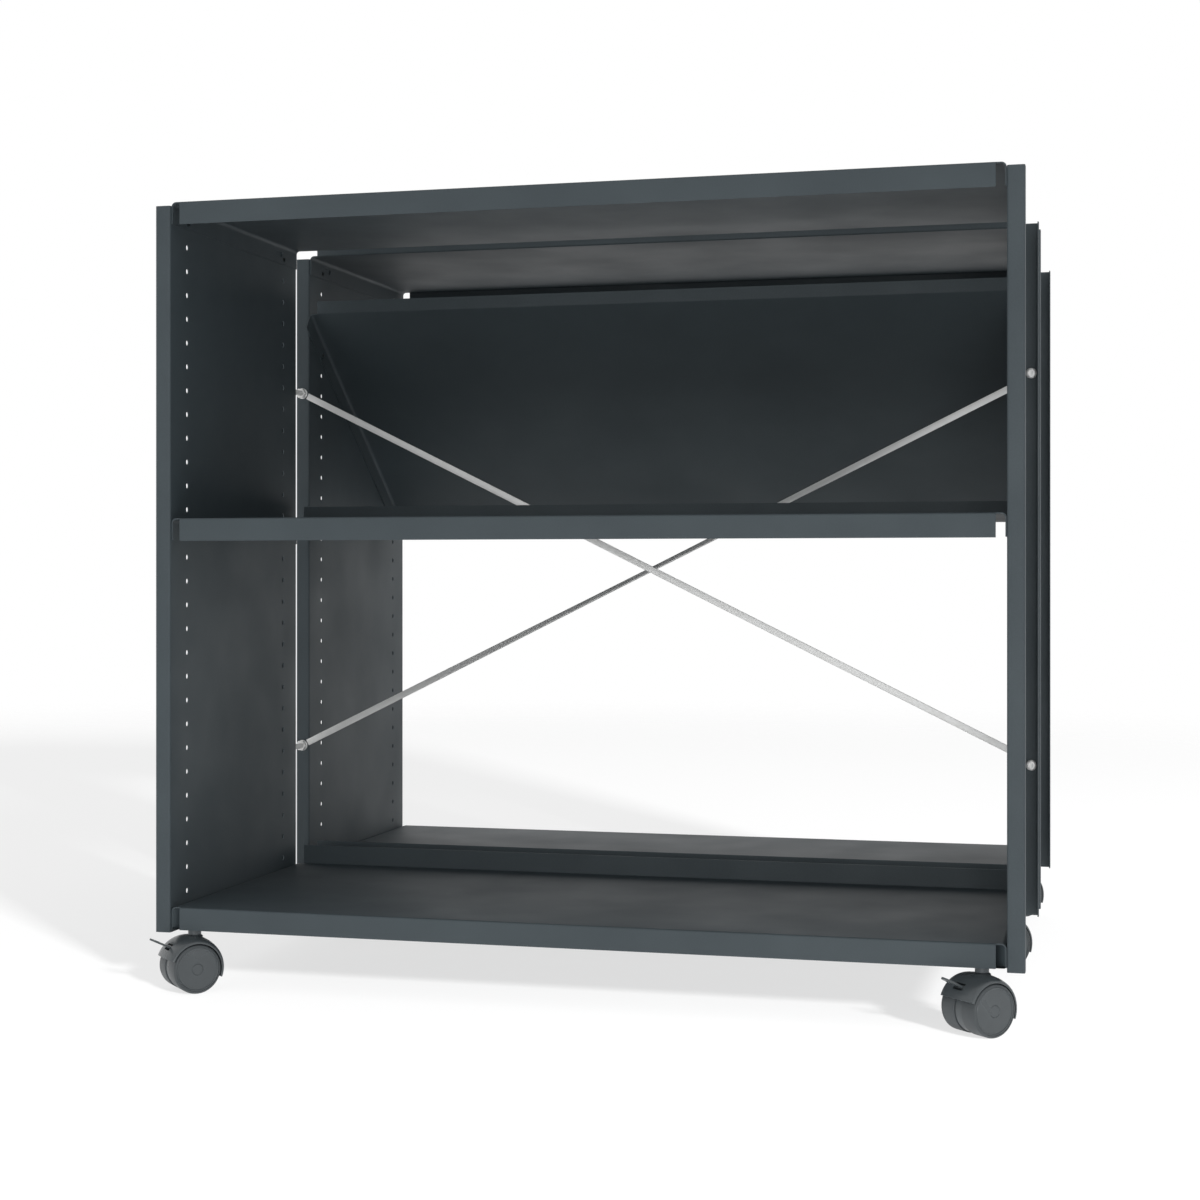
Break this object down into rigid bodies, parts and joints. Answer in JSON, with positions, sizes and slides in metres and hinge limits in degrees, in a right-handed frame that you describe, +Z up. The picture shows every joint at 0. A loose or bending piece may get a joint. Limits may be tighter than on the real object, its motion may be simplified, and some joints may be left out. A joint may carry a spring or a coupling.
{
  "type": "mobile double bookcase",
  "caption": "Two perforated steel shelving bays back to back on twin-wheel castors, with flat shelves, a sloping display shelf and a cross brace between the bays.",
  "frame": {"origin": "on the floor, under the centre of the overall box", "axes": "+Z up; -Y is the front, towards the bay with the middle shelf; +X to the right seen from the front"},
  "size_m": [1.057, 0.9062, 1.0015],
  "materials": {
    "powder_coated_steel": "fine textured satin powder coat, anthracite",
    "zinc_plated_steel": "bright zinc plate",
    "castor_steel": "bright turned steel",
    "castor_plastic": "moulded dark grey nylon"
  },
  "bodies": {
    "frame": {"side_panel_front_left": "powder_coated_steel", "side_panel_front_right": "powder_coated_steel", "side_panel_rear_left": "powder_coated_steel", "side_panel_rear_right": "powder_coated_steel", "shelf_front_top": "powder_coated_steel", "shelf_front_middle": "powder_coated_steel", "shelf_front_base": "powder_coated_steel", "shelf_rear_top": "powder_coated_steel", "shelf_rear_base": "powder_coated_steel", "shelf_rear_display": "powder_coated_steel", "castor_bridge_left": "powder_coated_steel", "castor_bridge_right": "powder_coated_steel", "brace_bar_falling": "zinc_plated_steel", "brace_bar_rising": "zinc_plated_steel", "link_bolt_left_low": "zinc_plated_steel", "gap_nut_left_low": "zinc_plated_steel", "end_nut_left_low": "zinc_plated_steel", "link_bolt_left_high": "zinc_plated_steel", "gap_nut_left_high": "zinc_plated_steel", "end_nut_left_high": "zinc_plated_steel", "link_bolt_right_low": "zinc_plated_steel", "gap_nut_right_low": "zinc_plated_steel", "end_nut_right_low": "zinc_plated_steel", "link_bolt_right_high": "zinc_plated_steel", "gap_nut_right_high": "zinc_plated_steel", "end_nut_right_high": "zinc_plated_steel", "castor_front_left_stem": "castor_steel", "castor_front_right_stem": "castor_steel", "castor_middle_left_stem": "castor_steel", "castor_middle_right_stem": "castor_steel", "castor_rear_left_stem": "castor_steel", "castor_rear_right_stem": "castor_steel"},
    "castor_front_left_swivel": {"castor_front_left_hood": "castor_plastic", "castor_front_left_axle": "castor_steel"},
    "castor_front_left_wheel_left": {"castor_front_left_wheel_left": "castor_plastic"},
    "castor_front_left_wheel_right": {"castor_front_left_wheel_right": "castor_plastic"},
    "castor_front_left_lever": {"castor_front_left_lever": "castor_plastic"},
    "castor_front_right_swivel": {"castor_front_right_hood": "castor_plastic", "castor_front_right_axle": "castor_steel"},
    "castor_front_right_wheel_left": {"castor_front_right_wheel_left": "castor_plastic"},
    "castor_front_right_wheel_right": {"castor_front_right_wheel_right": "castor_plastic"},
    "castor_front_right_lever": {"castor_front_right_lever": "castor_plastic"},
    "castor_middle_left_swivel": {"castor_middle_left_hood": "castor_plastic", "castor_middle_left_axle": "castor_steel"},
    "castor_middle_left_wheel_left": {"castor_middle_left_wheel_left": "castor_plastic"},
    "castor_middle_left_wheel_right": {"castor_middle_left_wheel_right": "castor_plastic"},
    "castor_middle_right_swivel": {"castor_middle_right_hood": "castor_plastic", "castor_middle_right_axle": "castor_steel"},
    "castor_middle_right_wheel_left": {"castor_middle_right_wheel_left": "castor_plastic"},
    "castor_middle_right_wheel_right": {"castor_middle_right_wheel_right": "castor_plastic"},
    "castor_rear_left_swivel": {"castor_rear_left_hood": "castor_plastic", "castor_rear_left_axle": "castor_steel"},
    "castor_rear_left_wheel_left": {"castor_rear_left_wheel_left": "castor_plastic"},
    "castor_rear_left_wheel_right": {"castor_rear_left_wheel_right": "castor_plastic"},
    "castor_rear_left_lever": {"castor_rear_left_lever": "castor_plastic"},
    "castor_rear_right_swivel": {"castor_rear_right_hood": "castor_plastic", "castor_rear_right_axle": "castor_steel"},
    "castor_rear_right_wheel_left": {"castor_rear_right_wheel_left": "castor_plastic"},
    "castor_rear_right_wheel_right": {"castor_rear_right_wheel_right": "castor_plastic"},
    "castor_rear_right_lever": {"castor_rear_right_lever": "castor_plastic"}
  },
  "joints": [
    {"name": "castor_front_left_swivel_turn", "type": "hinge", "parent": "frame", "child": "castor_front_left_swivel", "pos_m": [-0.4805, -0.40751, 0.06], "axis": [0, 0, 1], "continuous": true},
    {"name": "castor_front_left_wheel_left_roll", "type": "hinge", "parent": "castor_front_left_swivel", "child": "castor_front_left_wheel_left", "pos_m": [-0.48474, -0.41176, 0.03], "axis": [0.7071, -0.7071, 0], "continuous": true},
    {"name": "castor_front_left_wheel_right_roll", "type": "hinge", "parent": "castor_front_left_swivel", "child": "castor_front_left_wheel_right", "pos_m": [-0.48474, -0.41176, 0.03], "axis": [0.7071, -0.7071, 0], "continuous": true},
    {"name": "castor_front_left_lever_press", "type": "hinge", "parent": "castor_front_left_swivel", "child": "castor_front_left_lever", "pos_m": [-0.50233, -0.42934, 0.05487], "axis": [0.7071, -0.7071, 0], "range_deg": [0, 22]},
    {"name": "castor_front_right_swivel_turn", "type": "hinge", "parent": "frame", "child": "castor_front_right_swivel", "pos_m": [0.4805, -0.40751, 0.06], "axis": [0, 0, 1], "continuous": true},
    {"name": "castor_front_right_wheel_left_roll", "type": "hinge", "parent": "castor_front_right_swivel", "child": "castor_front_right_wheel_left", "pos_m": [0.47626, -0.41176, 0.03], "axis": [0.7071, -0.7071, 0], "continuous": true},
    {"name": "castor_front_right_wheel_right_roll", "type": "hinge", "parent": "castor_front_right_swivel", "child": "castor_front_right_wheel_right", "pos_m": [0.47626, -0.41176, 0.03], "axis": [0.7071, -0.7071, 0], "continuous": true},
    {"name": "castor_front_right_lever_press", "type": "hinge", "parent": "castor_front_right_swivel", "child": "castor_front_right_lever", "pos_m": [0.45867, -0.42934, 0.05487], "axis": [0.7071, -0.7071, 0], "range_deg": [0, 22]},
    {"name": "castor_middle_left_swivel_turn", "type": "hinge", "parent": "frame", "child": "castor_middle_left_swivel", "pos_m": [-0.4805, 0.00349, 0.06], "axis": [0, 0, 1], "continuous": true},
    {"name": "castor_middle_left_wheel_left_roll", "type": "hinge", "parent": "castor_middle_left_swivel", "child": "castor_middle_left_wheel_left", "pos_m": [-0.48474, -0.00076, 0.03], "axis": [0.7071, -0.7071, 0], "continuous": true},
    {"name": "castor_middle_left_wheel_right_roll", "type": "hinge", "parent": "castor_middle_left_swivel", "child": "castor_middle_left_wheel_right", "pos_m": [-0.48474, -0.00076, 0.03], "axis": [0.7071, -0.7071, 0], "continuous": true},
    {"name": "castor_middle_right_swivel_turn", "type": "hinge", "parent": "frame", "child": "castor_middle_right_swivel", "pos_m": [0.4805, 0.00349, 0.06], "axis": [0, 0, 1], "continuous": true},
    {"name": "castor_middle_right_wheel_left_roll", "type": "hinge", "parent": "castor_middle_right_swivel", "child": "castor_middle_right_wheel_left", "pos_m": [0.47626, -0.00076, 0.03], "axis": [0.7071, -0.7071, 0], "continuous": true},
    {"name": "castor_middle_right_wheel_right_roll", "type": "hinge", "parent": "castor_middle_right_swivel", "child": "castor_middle_right_wheel_right", "pos_m": [0.47626, -0.00076, 0.03], "axis": [0.7071, -0.7071, 0], "continuous": true},
    {"name": "castor_rear_left_swivel_turn", "type": "hinge", "parent": "frame", "child": "castor_rear_left_swivel", "pos_m": [-0.4805, 0.41449, 0.06], "axis": [0, 0, 1], "continuous": true},
    {"name": "castor_rear_left_wheel_left_roll", "type": "hinge", "parent": "castor_rear_left_swivel", "child": "castor_rear_left_wheel_left", "pos_m": [-0.48474, 0.41024, 0.03], "axis": [0.7071, -0.7071, 0], "continuous": true},
    {"name": "castor_rear_left_wheel_right_roll", "type": "hinge", "parent": "castor_rear_left_swivel", "child": "castor_rear_left_wheel_right", "pos_m": [-0.48474, 0.41024, 0.03], "axis": [0.7071, -0.7071, 0], "continuous": true},
    {"name": "castor_rear_left_lever_press", "type": "hinge", "parent": "castor_rear_left_swivel", "child": "castor_rear_left_lever", "pos_m": [-0.50233, 0.39266, 0.05487], "axis": [0.7071, -0.7071, 0], "range_deg": [0, 22]},
    {"name": "castor_rear_right_swivel_turn", "type": "hinge", "parent": "frame", "child": "castor_rear_right_swivel", "pos_m": [0.4805, 0.41449, 0.06], "axis": [0, 0, 1], "continuous": true},
    {"name": "castor_rear_right_wheel_left_roll", "type": "hinge", "parent": "castor_rear_right_swivel", "child": "castor_rear_right_wheel_left", "pos_m": [0.47626, 0.41024, 0.03], "axis": [0.7071, -0.7071, 0], "continuous": true},
    {"name": "castor_rear_right_wheel_right_roll", "type": "hinge", "parent": "castor_rear_right_swivel", "child": "castor_rear_right_wheel_right", "pos_m": [0.47626, 0.41024, 0.03], "axis": [0.7071, -0.7071, 0], "continuous": true},
    {"name": "castor_rear_right_lever_press", "type": "hinge", "parent": "castor_rear_right_swivel", "child": "castor_rear_right_lever", "pos_m": [0.45867, 0.39266, 0.05487], "axis": [0.7071, -0.7071, 0], "range_deg": [0, 22]}
  ]
}
